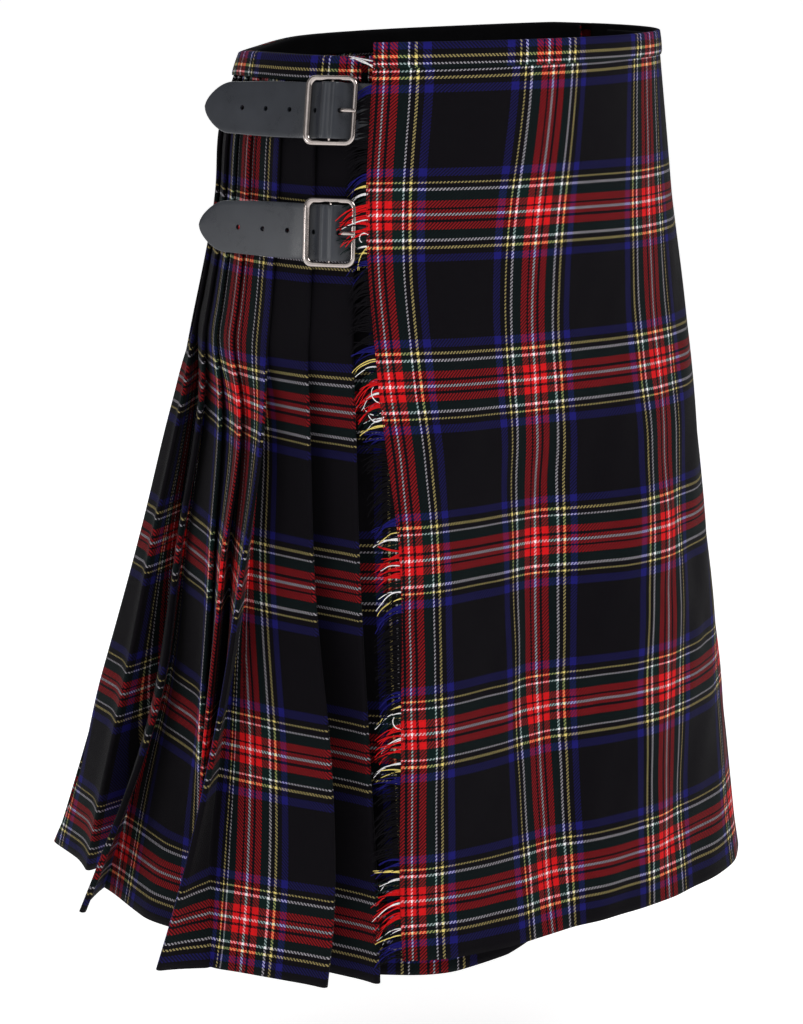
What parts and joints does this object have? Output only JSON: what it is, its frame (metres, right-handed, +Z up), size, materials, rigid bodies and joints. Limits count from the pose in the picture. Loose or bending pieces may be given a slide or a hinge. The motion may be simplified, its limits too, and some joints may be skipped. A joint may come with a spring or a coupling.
{
  "type": "scottish kilt",
  "caption": "Wrap-over tartan kilt in its worn shape: fringed over apron, knife pleats round the back, and leather straps buckled at the hips.",
  "frame": {"origin": "middle of the waist, level with the upper straps, where the wearer's waist holds the kilt", "axes": "+Z up the wearer's body, -Y the way the wearer faces, +X to the wearer's left"},
  "size_m": [0.5069, 0.4911, 0.6206],
  "materials": {
    "tartan": "matte wool-like twill in a black, red, green, blue, yellow and white tartan",
    "leather": "smooth black leather with a soft sheen",
    "steel": "bright nickel-plated steel"
  },
  "bodies": {
    "root": {"over_apron": "tartan", "under_apron": "tartan", "pleats_left": "tartan", "pleats_right": "tartan", "over_apron_band": "tartan", "back_band": "tartan", "under_apron_band": "tartan", "apron_fringe": "tartan", "strap_upper": "leather", "strap_lower": "leather", "strap_left": "leather", "tab_upper": "leather", "tab_lower": "leather", "tab_left": "leather", "buckle_upper": "steel", "buckle_lower": "steel", "buckle_left": "steel", "prong_upper": "steel", "prong_lower": "steel", "prong_left": "steel"}
  },
  "joints": []
}
